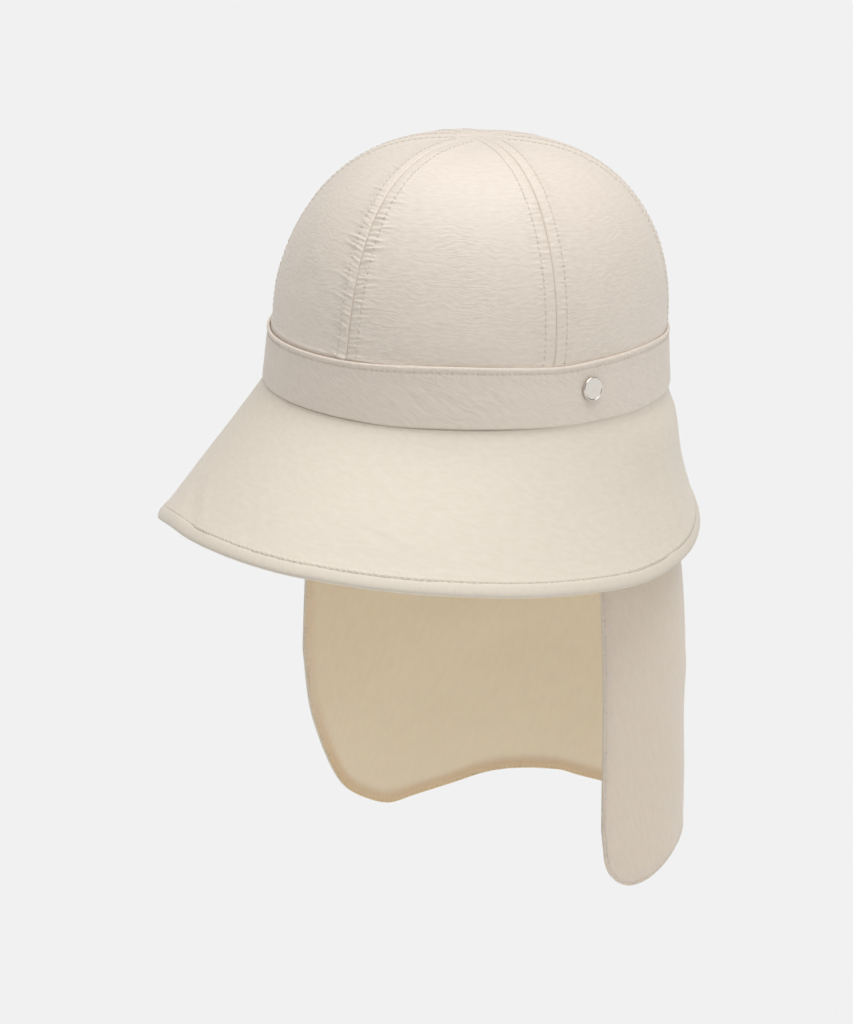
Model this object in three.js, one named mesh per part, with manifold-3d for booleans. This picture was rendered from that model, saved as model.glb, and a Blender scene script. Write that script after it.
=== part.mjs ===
// A sun bonnet: a crown of six panels, a hat band, a sloping brim with a corded edge,
// a small metal stud on the band, and a neck flap that hangs from inside the band.
// Millimetres, +Z up. The origin is the centre of the head opening, level with the band's
// lower edge. The front of the hat faces -Y, and the wearer's left side is +X.
import * as THREE from "three";
import { mergeVertices } from "three/addons/utils/BufferGeometryUtils.js";
import Module from "manifold-3d";

// Head opening, outside of the band at its lower edge: an ellipse, 576 mm round inside.
const HALF_LENGTH = 99;
const HALF_WIDTH = 88.7;
const MEAN_RADIUS = (HALF_LENGTH + HALF_WIDTH) / 2;

// Cloth walls, and the gap that neighbouring pieces keep.
const CROWN_WALL = 1;
const BAND_WALL = 1;
const BRIM_WALL = 2;
const FLAP_WALL = 1;
const FLAP_HEM_WALL = 1.8;
const GAP = 0.3;

// Hat band: it leans in towards its upper edge and covers the edges sewn under it.
const BAND_HEIGHT = 25.4;
const BAND_LEAN = 2.2;
const TUCK = 5;
// Its sewn edges wander a little: angle round the hat, from the front, and height.
const BAND_EDGES = [
  { angle: -45, top: 23.3, low: -0.4 },
  { angle: -20, top: 23.9, low: -0.1 },
  { angle: 0, top: 24.5, low: 0 },
  { angle: 14, top: 25.6, low: -0.2 },
  { angle: 30, top: 26.6, low: 0.3 },
  { angle: 44, top: 26.2, low: 0.2 },
  { angle: 62, top: 25.1, low: -0.6 },
  { angle: 72, top: 25.8, low: -0.5 },
  { angle: 96, top: 26.4, low: -0.9 },
  { angle: 115, top: 25.4, low: -0.2 },
  { angle: 160, top: 25.2, low: 0 },
  { angle: 210, top: 25.6, low: 0 },
  { angle: 260, top: 24.6, low: 0 },
  { angle: 315, top: 23.3, low: -0.4 },
];

// Crown: a superellipse dome, its top a little behind the centre.
const CROWN_RISE = 82;
const CROWN_RISE_POWER = 2;
const CROWN_SPREAD_POWER = 2.7;
const CROWN_TOP_BACK = 3.5;
const CROWN_BACK_POWER = 0.4;
const CROWN_EASE_HEIGHT = 2;
// Where each seam starts at the band, and how far it sways on its way to the top, in degrees.
const SEAMS = [
  { turn: -1.5, sway: -5 },
  { turn: 58.3, sway: -1 },
  { turn: 120, sway: 0 },
  { turn: 180, sway: 0 },
  { turn: 240, sway: 0 },
  { turn: 300, sway: -2 },
];
const PANEL_FLATNESS = 0.011;
const TOP_HOLE_RADIUS = 1.2;

// Brim: length down the slope, flare from the vertical, and how much the flare grows
// from band to rim. Facing runs from the front (0) to the back (180).
const BRIM_SECTIONS = [
  { facing: 0, slant: 76.8, flare: 47.9, curl: -0.1 },
  { facing: 30, slant: 76.6, flare: 43.7, curl: -0.1 },
  { facing: 60, slant: 75, flare: 34, curl: 0 },
  { facing: 90, slant: 69.8, flare: 23, curl: 0.35 },
  { facing: 120, slant: 62.2, flare: 16.4, curl: 0.6 },
  { facing: 150, slant: 55, flare: 14.5, curl: 0.5 },
  { facing: 180, slant: 52, flare: 15, curl: 0.4 },
];
// The rim isn't quite even: how much longer the brim is, by the angle round the hat.
const BRIM_UNEVEN = [
  { angle: -80, longer: 0 },
  { angle: -62, longer: 3.2 },
  { angle: -55, longer: 3.8 },
  { angle: -50, longer: 3.2 },
  { angle: -43, longer: 1.6 },
  { angle: -37, longer: -0.6 },
  { angle: -30, longer: -2.2 },
  { angle: -22, longer: -2 },
  { angle: -12, longer: -0.9 },
  { angle: -5, longer: 0.2 },
  { angle: 3, longer: 1 },
  { angle: 10, longer: 0.6 },
  { angle: 20, longer: 0 },
  { angle: 30, longer: -0.6 },
  { angle: 40, longer: -1 },
  { angle: 55, longer: -1.2 },
  { angle: 75, longer: 0 },
];
// On the wearer's left the brim swells out a little below the band: its middle, by angle and
// by run down the slope, its widths and height, and the run over which it sets in.
const BRIM_SWELLING = { angle: 112, run: 16, angleWidth: 30, runWidth: 14, height: 1.9 };
const SWELLING_START = 2;
const SWELLING_FULL = 14;
const COLLAR = 4;
const BRIM_BEND = 2.5;
const EDGE_WIDTH = 6.4;
const EDGE_THICKNESS = 3.2;

// Neck flap. Its middle hangs a little towards the wearer's left, and it leans back.
const FLAP_MIDDLE = 167.4;
const FLAP_HALF_SPAN = 95.6;
const FLAP_LEAN = 0.04;
const FLAP_HEM = 6;
// How far the flap stands out from the head ellipse, down its length.
const FLAP_SECTIONS = [
  { depth: -3, out: -4.3 },
  { depth: 20, out: -1.8 },
  { depth: 55, out: 3.6 },
  { depth: 90, out: 8.7 },
  { depth: 130, out: 12 },
  { depth: 170, out: 13.6 },
  { depth: 210, out: 15 },
  { depth: 260, out: 16 },
];
// The lower edge, from the free edge on the wearer's left (-1) past the middle of the back
// to the free edge on the right (1). The left side hangs shorter.
const FLAP_LOWER_EDGE = [
  { place: -1, depth: 188 },
  { place: -0.985, depth: 205 },
  { place: -0.947, depth: 215 },
  { place: -0.895, depth: 220.5 },
  { place: -0.82, depth: 221.8 },
  { place: -0.74, depth: 219 },
  { place: -0.66, depth: 215.6 },
  { place: -0.56, depth: 215 },
  { place: -0.46, depth: 218 },
  { place: -0.32, depth: 224 },
  { place: -0.2, depth: 228 },
  { place: 0.05, depth: 234.5 },
  { place: 0.13, depth: 235 },
  { place: 0.2, depth: 234 },
  { place: 0.38, depth: 238.5 },
  { place: 0.53, depth: 249 },
  { place: 0.62, depth: 254 },
  { place: 0.69, depth: 256.3 },
  { place: 0.77, depth: 250.5 },
  { place: 0.84, depth: 241 },
  { place: 0.89, depth: 227 },
  { place: 0.94, depth: 207 },
  { place: 0.975, depth: 187 },
  { place: 1, depth: 160 },
];
// The free edge on the right stands out a little between these depths.
const STAND_OUT = { height: 1.6, fromPlace: 0.85, starts: 10, full: 40, eases: 70, ends: 130 };
// Soft folds of the flap: degrees from its middle, width in degrees, and height in mm.
const FLAP_FOLDS = [
  { at: -88, width: 11, height: -1.6 },
  { at: -64, width: 11, height: 1.4 },
  { at: -24, width: 13, height: -2 },
  { at: 4, width: 14, height: 2 },
  { at: 34, width: 14, height: -1.8 },
  { at: 62, width: 13, height: 1.8 },
  { at: 88, width: 11, height: -1.6 },
];
const FOLD_START = 20;
const FOLD_FULL = 200;
const FLAP_CROWDING = 1.3;

// Stud: a round metal head with a post through the band and a plain washer behind.
const STUD_ANGLE = 70;
const STUD_HEIGHT = 14;
const STUD_RADIUS = 5.25;
const STUD_RIM = 1.5;
const STUD_FACE = 1.1;
const STUD_RIM_WIDTH = 0.7;
const STUD_BEVEL = 0.5;
const STUD_RIM_BEVEL = 0.35;
const POST_RADIUS = 1.2;
const POST_LENGTH = 3;
const WASHER_RADIUS = 3.5;
const WASHER_THICKNESS = 0.6;
const STUD_SIDES = 24;
const HOLE_LENGTH = 12;
const HOLE_SIDES = 16;

const MATERIALS = {
  cloth: { color: 0xe4dbcf, roughness: 0.7, metalness: 0 },
  edge: { color: 0xe9e0d3, roughness: 0.7, metalness: 0 },
  flap: { color: 0xd8ccbe, roughness: 0.75, metalness: 0 },
  metal: { color: 0xc9c5c0, roughness: 0.25, metalness: 1 },
};

const rad = THREE.MathUtils.degToRad;
const WELD_DISTANCE = 1e-4;
const wasm = await Module();
wasm.setup();

// The band, the brim and its edge are cut into the same columns all the way round.
const RING_COLUMNS = 84;
const ringAngle = (c) => (2 * Math.PI * c) / RING_COLUMNS;

// A point of the head ellipse, moved outwards along its normal. Angle 0 is the front.
function ringPoint(angle, out, z) {
  const normal = ringNormal(angle);
  return new THREE.Vector3(
    HALF_WIDTH * Math.sin(angle) + out * normal.x,
    -HALF_LENGTH * Math.cos(angle) + out * normal.y,
    z,
  );
}

function ringNormal(angle) {
  return new THREE.Vector3(
    Math.sin(angle) / HALF_WIDTH,
    -Math.cos(angle) / HALF_LENGTH,
    0,
  ).normalize();
}

// An angle in degrees, within the turn that starts at least.
const signedDegrees = (angle, least) =>
  THREE.MathUtils.euclideanModulo(THREE.MathUtils.radToDeg(angle) - least, 360) + least;

// How far the band's outer face has leaned in at a height.
const bandFace = (z) => (-BAND_LEAN * z) / BAND_HEIGHT;

// Reads a table by its first column, along a smooth curve through its rows. The curve is
// level at both ends, unless they are free.
function readTable(rows, key, at, column, freeEnds = false) {
  const last = rows.length - 1;
  const found = rows.findIndex((row) => row[key] > at);
  const i = found < 0 ? last - 1 : Math.max(found - 1, 0);
  const value = (k) => rows[Math.min(Math.max(k, 0), last)][column];
  const place = (k) => rows[Math.min(Math.max(k, 0), last)][key];
  const share = THREE.MathUtils.clamp((at - place(i)) / (place(i + 1) - place(i)), 0, 1);
  const slope = (k) =>
    (k === 0 || k === last) && !freeEnds
      ? 0
      : (value(k + 1) - value(k - 1)) / (place(k + 1) - place(k - 1));
  const run = place(i + 1) - place(i);
  const [s2, s3] = [share ** 2, share ** 3];
  return (
    (2 * s3 - 3 * s2 + 1) * value(i) +
    (s3 - 2 * s2 + share) * run * slope(i) +
    (3 * s2 - 2 * s3) * value(i + 1) +
    (s3 - s2) * run * slope(i + 1)
  );
}

// A closed wall of cloth between an outer and an inner grid of points.
// A ring's columns meet round the back; a sheet has two side edges.
function clothWall(columns, rows, outer, inner, ring) {
  const across = ring ? columns : columns + 1;
  const points = [];
  for (const surface of [outer, inner])
    for (let r = 0; r <= rows; r++)
      for (let c = 0; c < across; c++) points.push(...surface(c, r).toArray());
  const at = (side, c, r) => side * across * (rows + 1) + r * across + (c % across);
  const faces = [];
  const quad = (a, b, c, d) => faces.push(a, b, c, a, c, d);
  for (let c = 0; c < columns; c++) {
    for (let r = 0; r < rows; r++) {
      quad(at(0, c, r), at(0, c + 1, r), at(0, c + 1, r + 1), at(0, c, r + 1));
      quad(at(1, c, r), at(1, c, r + 1), at(1, c + 1, r + 1), at(1, c + 1, r));
    }
    quad(at(0, c, 0), at(1, c, 0), at(1, c + 1, 0), at(0, c + 1, 0));
    quad(at(0, c, rows), at(0, c + 1, rows), at(1, c + 1, rows), at(1, c, rows));
  }
  for (let r = 0; r < rows && !ring; r++) {
    quad(at(0, 0, r), at(0, 0, r + 1), at(1, 0, r + 1), at(1, 0, r));
    quad(at(0, columns, r), at(1, columns, r), at(1, columns, r + 1), at(0, columns, r + 1));
  }
  return facingOut(points, faces);
}

// Makes the geometry, and turns its faces round if they point inwards.
function facingOut(points, faces) {
  const corner = (i) => new THREE.Vector3().fromArray(points, 3 * i);
  let volume = 0;
  for (let i = 0; i < faces.length; i += 3)
    volume += corner(faces[i]).dot(corner(faces[i + 1]).cross(corner(faces[i + 2])));
  if (volume < 0) faces.reverse();
  const geometry = new THREE.BufferGeometry();
  geometry.setAttribute("position", new THREE.Float32BufferAttribute(points, 3));
  geometry.setIndex(faces);
  return geometry;
}

// Crown
// The dome's side view, from the edge tucked under the band to the top, and each row's
// outward normal: the share of the head ellipse, the height, and the same inside the wall.
const crownBase = MEAN_RADIUS - BAND_LEAN - BAND_WALL - GAP;
const DOME_STEPS = 400;
const CROWN_ROWS = 13;

function crownProfile(steps) {
  const dome = [];
  for (let i = 0; i <= DOME_STEPS; i++) {
    const turn = (i / DOME_STEPS) * (Math.PI / 2);
    const share = Math.cos(turn) ** (2 / CROWN_SPREAD_POWER);
    const rise = Math.sin(turn) ** (2 / CROWN_RISE_POWER);
    dome.push(
      new THREE.Vector2(
        crownBase * share,
        BAND_HEIGHT + CROWN_EASE_HEIGHT + (CROWN_RISE - CROWN_EASE_HEIGHT) * rise,
      ),
    );
  }
  const curve = evenly(dome.filter((p) => p.x > TOP_HOLE_RADIUS), steps);
  return [
    new THREE.Vector2(crownBase, BAND_HEIGHT - TUCK),
    new THREE.Vector2(crownBase, BAND_HEIGHT),
    ...curve,
  ];
}

// Points at even steps along a polyline.
function evenly(line, steps) {
  const path = new THREE.CurvePath();
  for (let i = 1; i < line.length; i++) path.add(new THREE.LineCurve(line[i - 1], line[i]));
  return Array.from({ length: steps + 1 }, (_, i) => path.getPointAt(i / steps));
}

// The same profile, one wall thickness further in.
function insetProfile(profile, wall) {
  return profile.map((point, i) => {
    const before = profile[Math.max(i - 1, 0)];
    const after = profile[Math.min(i + 1, profile.length - 1)];
    const along = after.clone().sub(before).normalize();
    return new THREE.Vector2(point.x - wall * along.y, point.y + wall * along.x);
  });
}

function crownPanels() {
  const columns = 8;
  const outerRows = crownProfile(CROWN_ROWS);
  const innerRows = insetProfile(outerRows, CROWN_WALL);
  innerRows[innerRows.length - 1].x = TOP_HOLE_RADIUS;
  return SEAMS.map((seam, panel) => {
    const next = SEAMS[(panel + 1) % SEAMS.length];
    const lap = panel === SEAMS.length - 1 ? 2 * Math.PI : 0;
    const surface = (profile) => (c, r) => {
      const { x: radius, y: height } = profile[r];
      const risen = Math.max(height - BAND_HEIGHT, 0) / CROWN_RISE;
      const seamGap = GAP / 2 / Math.max(radius, TOP_HOLE_RADIUS);
      const from = rad(seam.turn + seam.sway * risen ** 2) + seamGap;
      const to = rad(next.turn + next.sway * risen ** 2) + lap - seamGap;
      const across = c / columns;
      const angle = THREE.MathUtils.lerp(from, to, across);
      const share = (radius / MEAN_RADIUS) * (1 - flatness(across, r, profile.length - 1));
      return new THREE.Vector3(
        HALF_WIDTH * share * Math.sin(angle),
        -HALF_LENGTH * share * Math.cos(angle) + CROWN_TOP_BACK * risen ** CROWN_BACK_POWER,
        height,
      );
    };
    return clothWall(columns, outerRows.length - 1, surface(outerRows), surface(innerRows));
  });
}

// A panel is a little flatter between its seams, apart from where the band holds it.
function flatness(across, row, rows) {
  return PANEL_FLATNESS * Math.sin(Math.PI * across) ** 2 * Math.min(1, (3 * row) / rows);
}

// Band
function bandGeometry() {
  const rows = 2;
  const surface = (inset) => (c, r) => {
    const angle = signedDegrees(ringAngle(c), BAND_EDGES[0].angle);
    const edge = (column) => readTable(BAND_EDGES, "angle", angle, column);
    const z = THREE.MathUtils.lerp(edge("low"), edge("top"), r / rows);
    return ringPoint(ringAngle(c), bandFace(z) - inset, z);
  };
  return clothWall(RING_COLUMNS, rows, surface(0), surface(BAND_WALL), true);
}

// Brim
// Where the brim's upper face runs at one angle: out from the head ellipse, and height.
function brimPath(angle, length, steps) {
  const { slant, flare, curl } = brimSection(angle);
  const path = [{ out: -BAND_WALL - GAP, z: 0, slope: 0 }];
  const step = length / steps;
  for (let i = 1; i <= steps; i++) {
    const run = (i - 0.5) * step;
    const bend = THREE.MathUtils.smoothstep(run, 0, BRIM_BEND);
    const slope = flare * bend * (1 + curl * (run / slant - 0.5));
    const { out, z } = path[i - 1];
    path.push({ out: out + step * Math.sin(slope), z: z - step * Math.cos(slope), slope });
  }
  return path;
}

function brimSection(angle) {
  const normal = ringNormal(angle);
  const facing = THREE.MathUtils.radToDeg(Math.abs(Math.atan2(normal.x, -normal.y)));
  const read = (column) => readTable(BRIM_SECTIONS, "facing", facing, column);
  const longer = readTable(BRIM_UNEVEN, "angle", signedDegrees(angle, -180), "longer");
  return { slant: read("slant") + longer, flare: rad(read("flare")), curl: read("curl") };
}

function brimSwelling(angle, run) {
  const { angleWidth, runWidth, height } = BRIM_SWELLING;
  const across = (signedDegrees(angle, -180) - BRIM_SWELLING.angle) / angleWidth;
  const down = (run - BRIM_SWELLING.run) / runWidth;
  const begun = THREE.MathUtils.smoothstep(run, SWELLING_START, SWELLING_FULL);
  return begun * height * Math.exp(-(across ** 2) - down ** 2);
}

const FINE_STEPS = 60;
const BRIM_CROWDING = 1.6;

// Rows are closer together near the band.
function brimGeometry() {
  const rows = 8;
  const surface = (inset) => (c, r) => {
    const angle = ringAngle(c);
    if (r === 0) return ringPoint(angle, bandFace(COLLAR) - BAND_WALL - GAP - inset, COLLAR);
    const length = brimSection(angle).slant - EDGE_WIDTH - GAP;
    const step = Math.round(((r - 1) / (rows - 1)) ** BRIM_CROWDING * FINE_STEPS);
    const { out, z, slope } = brimPath(angle, length, FINE_STEPS)[step];
    const proud = brimSwelling(angle, (step / FINE_STEPS) * length) - inset;
    return ringPoint(angle, out + proud * Math.cos(slope), z + proud * Math.sin(slope));
  };
  return clothWall(RING_COLUMNS, rows, surface(0), surface(BRIM_WALL), true);
}

// The corded edge: an oval roll round the whole rim.
function brimEdgeGeometry() {
  const sides = 8;
  const points = [];
  const faces = [];
  const at = (c, s) => (c % RING_COLUMNS) * sides + (s % sides);
  for (let c = 0; c < RING_COLUMNS; c++) {
    const angle = ringAngle(c);
    const path = brimPath(angle, brimSection(angle).slant - EDGE_WIDTH / 2, FINE_STEPS);
    const { out, z, slope } = path[FINE_STEPS];
    for (let s = 0; s < sides; s++) {
      const turn = (2 * Math.PI * s) / sides;
      const along = (EDGE_WIDTH / 2) * Math.cos(turn);
      const proud = (EDGE_THICKNESS / 2) * Math.sin(turn) - BRIM_WALL / 2;
      const [sin, cos] = [Math.sin(slope), Math.cos(slope)];
      const place = ringPoint(angle, out + along * sin + proud * cos, z - along * cos + proud * sin);
      points.push(...place.toArray());
      faces.push(at(c, s), at(c + 1, s), at(c + 1, s + 1));
      faces.push(at(c, s), at(c + 1, s + 1), at(c, s + 1));
    }
  }
  return facingOut(points, faces);
}

// Neck flap
function flapFolds(degrees, depth) {
  const grown = THREE.MathUtils.smoothstep(depth, FOLD_START, FOLD_FULL);
  const fold = ({ at, width, height }) => height * Math.exp(-(((degrees - at) / width) ** 2));
  return grown * FLAP_FOLDS.reduce((sum, row) => sum + fold(row), 0);
}

function standOut(place, depth) {
  const { smoothstep } = THREE.MathUtils;
  const { height, fromPlace, starts, full, eases, ends } = STAND_OUT;
  const down = smoothstep(depth, starts, full) * (1 - smoothstep(depth, eases, ends));
  return height * smoothstep(place, fromPlace, 1) * down;
}

// A point of the flap, set in from its outer face.
function flapPoint(place, depth, inset) {
  const degrees = place * FLAP_HALF_SPAN;
  const out = readTable(FLAP_SECTIONS, "depth", depth, "out") + flapFolds(degrees, depth);
  const proud = standOut(place, depth) - inset;
  const point = ringPoint(rad(FLAP_MIDDLE + degrees), out + proud, -depth);
  point.y += FLAP_LEAN * Math.max(depth, 0);
  return point;
}

function flapGeometry() {
  const top = FLAP_SECTIONS[0].depth;
  const columns = 40;
  const rows = 12;
  const hemShare = FLAP_HEM / (MEAN_RADIUS * rad(FLAP_HALF_SPAN));
  // Columns are closer together near the free edges, and the outermost one is the hem.
  const place = (c) => {
    if (c === 0 || c === columns) return Math.sign(c - 1);
    const even = (2 * (c - 1)) / (columns - 2) - 1;
    return (1 - hemShare) * (Math.sin(even * FLAP_CROWDING) / Math.sin(FLAP_CROWDING));
  };
  const depth = (c, r) => {
    const bottom = readTable(FLAP_LOWER_EDGE, "place", place(c), "depth", true);
    return r === rows ? bottom : top + (bottom - FLAP_HEM - top) * (r / (rows - 1));
  };
  const surface = (inside) => (c, r) => {
    const hem = c < 2 || c > columns - 2 || r > rows - 2;
    return flapPoint(place(c), depth(c, r), inside * (hem ? FLAP_HEM_WALL : FLAP_WALL));
  };
  return clothWall(columns, rows, surface(0), surface(1), false);
}

// Stud
// Turned shapes, made about the post's axis, with the band's outer face at height 0.
function studGeometry() {
  const profile = [
    [0, -POST_LENGTH],
    [POST_RADIUS, -POST_LENGTH],
    [POST_RADIUS, GAP],
    [STUD_RADIUS - STUD_BEVEL, GAP],
    [STUD_RADIUS, GAP + STUD_BEVEL],
    [STUD_RADIUS, GAP + STUD_RIM - STUD_RIM_BEVEL],
    [STUD_RADIUS - STUD_RIM_BEVEL, GAP + STUD_RIM],
    [STUD_RADIUS - STUD_RIM_WIDTH, GAP + STUD_RIM],
    [STUD_RADIUS - STUD_RIM_WIDTH, GAP + STUD_FACE],
    [0, GAP + STUD_FACE],
  ];
  return turned(profile);
}

function washerGeometry() {
  const bore = POST_RADIUS + GAP;
  const [front, back] = [-BAND_WALL - GAP, -BAND_WALL - GAP - WASHER_THICKNESS];
  return turned([
    [bore, back],
    [WASHER_RADIUS, back],
    [WASHER_RADIUS, front],
    [bore, front],
    [bore, back],
  ]);
}

function turned(profile) {
  const points = profile.map(([radius, height]) => new THREE.Vector2(radius, height));
  return weld(new THREE.LatheGeometry(points, STUD_SIDES));
}

// Merges shared corners, so that a geometry is one closed surface.
function weld(geometry) {
  geometry.deleteAttribute("normal");
  geometry.deleteAttribute("uv");
  const merged = mergeVertices(geometry, WELD_DISTANCE);
  const index = Array.from(merged.index.array);
  const kept = [];
  for (let i = 0; i < index.length; i += 3) {
    const [a, b, c] = index.slice(i, i + 3);
    if (a !== b && b !== c && c !== a) kept.push(a, b, c);
  }
  return facingOut(Array.from(merged.attributes.position.array), kept);
}

// Where the stud sits: on the band's outer face, its axis square to the leaning cloth.
const studAxis = ringNormal(rad(STUD_ANGLE));
studAxis.z = BAND_LEAN / BAND_HEIGHT;
studAxis.normalize();
const studPlace = ringPoint(rad(STUD_ANGLE), bandFace(STUD_HEIGHT), STUD_HEIGHT);
const studTurn = new THREE.Quaternion().setFromUnitVectors(new THREE.Vector3(0, 1, 0), studAxis);

function toSolid(geometry) {
  return new wasm.Manifold(
    new wasm.Mesh({
      numProp: 3,
      vertProperties: new Float32Array(geometry.attributes.position.array),
      triVerts: new Uint32Array(geometry.index.array),
    }),
  );
}

// The band with the hole that the stud's post goes through.
function piercedBand() {
  const bore = POST_RADIUS + GAP;
  const hole = weld(new THREE.CylinderGeometry(bore, bore, HOLE_LENGTH, HOLE_SIDES));
  hole.applyMatrix4(new THREE.Matrix4().compose(studPlace, studTurn, new THREE.Vector3(1, 1, 1)));
  const { vertProperties, triVerts } = toSolid(bandGeometry()).subtract(toSolid(hole)).getMesh();
  const geometry = new THREE.BufferGeometry();
  geometry.setAttribute("position", new THREE.BufferAttribute(vertProperties, 3));
  geometry.setIndex(new THREE.BufferAttribute(triVerts, 1));
  return geometry;
}

// Assembly
function piece(name, geometry, look) {
  geometry.computeVertexNormals();
  const mesh = new THREE.Mesh(geometry, new THREE.MeshStandardMaterial(look));
  mesh.name = name;
  return mesh;
}

const PANEL_NAMES = ["left_front", "left_side", "left_back", "right_back", "right_side", "right_front"];

const bonnet = new THREE.Group();
crownPanels().forEach((geometry, i) =>
  bonnet.add(piece("crown_panel_" + PANEL_NAMES[i], geometry, MATERIALS.cloth)),
);
bonnet.add(piece("band", piercedBand(), MATERIALS.cloth));
bonnet.add(piece("brim", brimGeometry(), MATERIALS.cloth));
bonnet.add(piece("brim_edge", brimEdgeGeometry(), MATERIALS.edge));
bonnet.add(piece("neck_flap", flapGeometry(), MATERIALS.flap));

const fastener = new THREE.Group();
fastener.position.copy(studPlace);
fastener.quaternion.copy(studTurn);
fastener.add(piece("stud", studGeometry(), MATERIALS.metal));
fastener.add(piece("stud_washer", washerGeometry(), MATERIALS.metal));
bonnet.add(fastener);

export default bonnet;
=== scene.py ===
import math

import bpy
import numpy as np
from mathutils import Matrix, Vector


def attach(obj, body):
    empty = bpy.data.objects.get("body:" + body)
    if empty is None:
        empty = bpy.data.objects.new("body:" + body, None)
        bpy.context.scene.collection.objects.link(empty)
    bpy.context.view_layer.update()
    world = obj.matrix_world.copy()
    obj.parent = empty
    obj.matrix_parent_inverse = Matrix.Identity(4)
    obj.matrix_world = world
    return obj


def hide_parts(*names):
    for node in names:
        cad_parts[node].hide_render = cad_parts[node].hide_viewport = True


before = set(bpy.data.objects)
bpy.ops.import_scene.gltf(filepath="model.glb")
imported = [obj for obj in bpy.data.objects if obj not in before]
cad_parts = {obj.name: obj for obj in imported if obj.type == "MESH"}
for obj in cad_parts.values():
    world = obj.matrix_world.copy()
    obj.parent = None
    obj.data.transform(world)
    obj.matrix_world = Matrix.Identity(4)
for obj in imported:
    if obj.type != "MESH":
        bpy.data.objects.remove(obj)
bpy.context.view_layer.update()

MM = 0.001
# Keeps divisions and rounding safe
TINY = 1e-9

# Head opening, hat band and walls
HALF_LENGTH = 99.0
HALF_WIDTH = 88.7
MEAN_RADIUS = (HALF_LENGTH + HALF_WIDTH) / 2
BAND_HEIGHT = 25.4
BAND_LEAN = 2.2
BAND_WALL = 1.0
BRIM_WALL = 2.0
GAP = 0.3

# Crown
TUCK = 5.0
CROWN_BASE = MEAN_RADIUS - BAND_LEAN - BAND_WALL - GAP
CROWN_RISE = 82.0
CROWN_RISE_POWER = 2.0
CROWN_SPREAD_POWER = 2.7
CROWN_TOP_BACK = 3.5
CROWN_BACK_POWER = 0.4
CROWN_EASE_HEIGHT = 2.0
CROWN_WALL = 0.9
PANEL_FLATNESS = 0.011
# Half the slit at a seam, and how far from the crown's very top its cloth ends
SEAM_SLIT = 0.05
CROWN_END = 0.2
PANELS = ["left_front", "left_side", "left_back", "right_back", "right_side", "right_front"]

# Crown seams: where each starts at the band and how far it sways (degrees). Its puckers: how
# deep (mm), from and to which height, how long, and how steeply they rise on either side.
SEAMS = [
    dict(turn=-1.5, sway=-5, depth=0.58, low=24, high=94, length=13, steep=(0.35, 0.25)),
    dict(turn=58.3, sway=-1, depth=0.42, low=68, high=98, length=6, steep=(0.3, 0.5)),
    dict(turn=120, sway=0, depth=0.3, low=40, high=92, length=7, steep=(0.5, 0.4)),
    dict(turn=180, sway=0, depth=0.45, low=36, high=90, length=8, steep=(0.8, 0.7)),
    dict(turn=240, sway=0, depth=0.35, low=40, high=92, length=7, steep=(0.4, 0.5)),
    dict(turn=300, sway=-2, depth=0.4, low=38, high=90, length=8, steep=(0.4, 0.8)),
]
TOPSTITCH = 5.0
# Height of the turned edges under a seam and where they end, and width and depth of its
# groove and of the channel that its stitches pull in
TURNED_EDGES = 0.22
TURNED_EDGES_END = (TOPSTITCH + 0.2, TOPSTITCH + 2)
SEAM_GROOVE = (0.32, 0.36)
SEAM_CHANNEL = (0.6, 0.1)
# The puckers beside a seam: their mean distance and width in mm, and how much each differs
PUCKER_PITCH = 1.8
PUCKER_WIDTH = 0.52
PUCKER_RANGES = dict(
    pitch=(0.5, 1.5), length=(0.45, 1.3), steep=(-0.2, 0.2), width=(0.8, 1.3), height=(0.2, 1)
)
# Where the rows of puckers begin and end, from the heights in SEAMS
PUCKER_FADE = np.array([-8, 6])

# Brim, from the front (0) to the back (180): slant in mm, flare in degrees, and curl
BRIM_SECTIONS = dict(
    facing=[0, 30, 60, 90, 120, 150, 180],
    slant=[76.8, 76.6, 75, 69.8, 62.2, 55, 52],
    flare=[47.9, 43.7, 34, 23, 16.4, 14.5, 15],
    curl=[-0.1, -0.1, 0, 0.35, 0.6, 0.5, 0.4],
)
# The rim isn't quite even: how much longer the brim is, by the angle round the hat
BRIM_UNEVEN = dict(
    angle=[-80, -62, -55, -50, -43, -37, -30, -22, -12, -5, 3, 10, 20, 30, 40, 55, 75],
    longer=[0, 3.2, 3.8, 3.2, 1.6, -0.6, -2.2, -2, -0.9, 0.2, 1, 0.6, 0, -0.6, -1, -1.2, 0],
)
BRIM_BEND = 2.5
EDGE_WIDTH = 6.4
EDGE_THICKNESS = 3.2

# Band edges, by the angle round the hat: it was sewn on by hand, and they wander a little
BAND_EDGES = dict(
    angle=[-45, -20, 0, 14, 30, 44, 62, 72, 96, 115, 160, 210, 260, 315],
    top=[23.3, 23.9, 24.5, 25.6, 26.6, 26.2, 25.1, 25.8, 26.4, 25.4, 25.2, 25.6, 24.6, 23.3],
    low=[-0.4, -0.1, 0, -0.2, 0.3, 0.2, -0.6, -0.5, -0.9, -0.2, 0, 0, 0, -0.4],
)

# Soft bumps all over: height, size along X, Y and Z, and the seed
CROWN_BUMPS = [(0.5, (44, 44, 36), 3), (0.07, (15, 15, 9), 4)]
BAND_WAVES = [(0.25, (30, 30, 60), 8)]
BAND_WRINKLES = [(0.04, (6, 6, 3), 7)]
BRIM_BUMPS = [(0.7, (55, 55, 40), 11), (0.07, (16, 16, 12), 12)]
FLAP_BUMPS = [(0.9, (70, 26, 10), 41), (0.16, (24, 9, 10), 42)]

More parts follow.
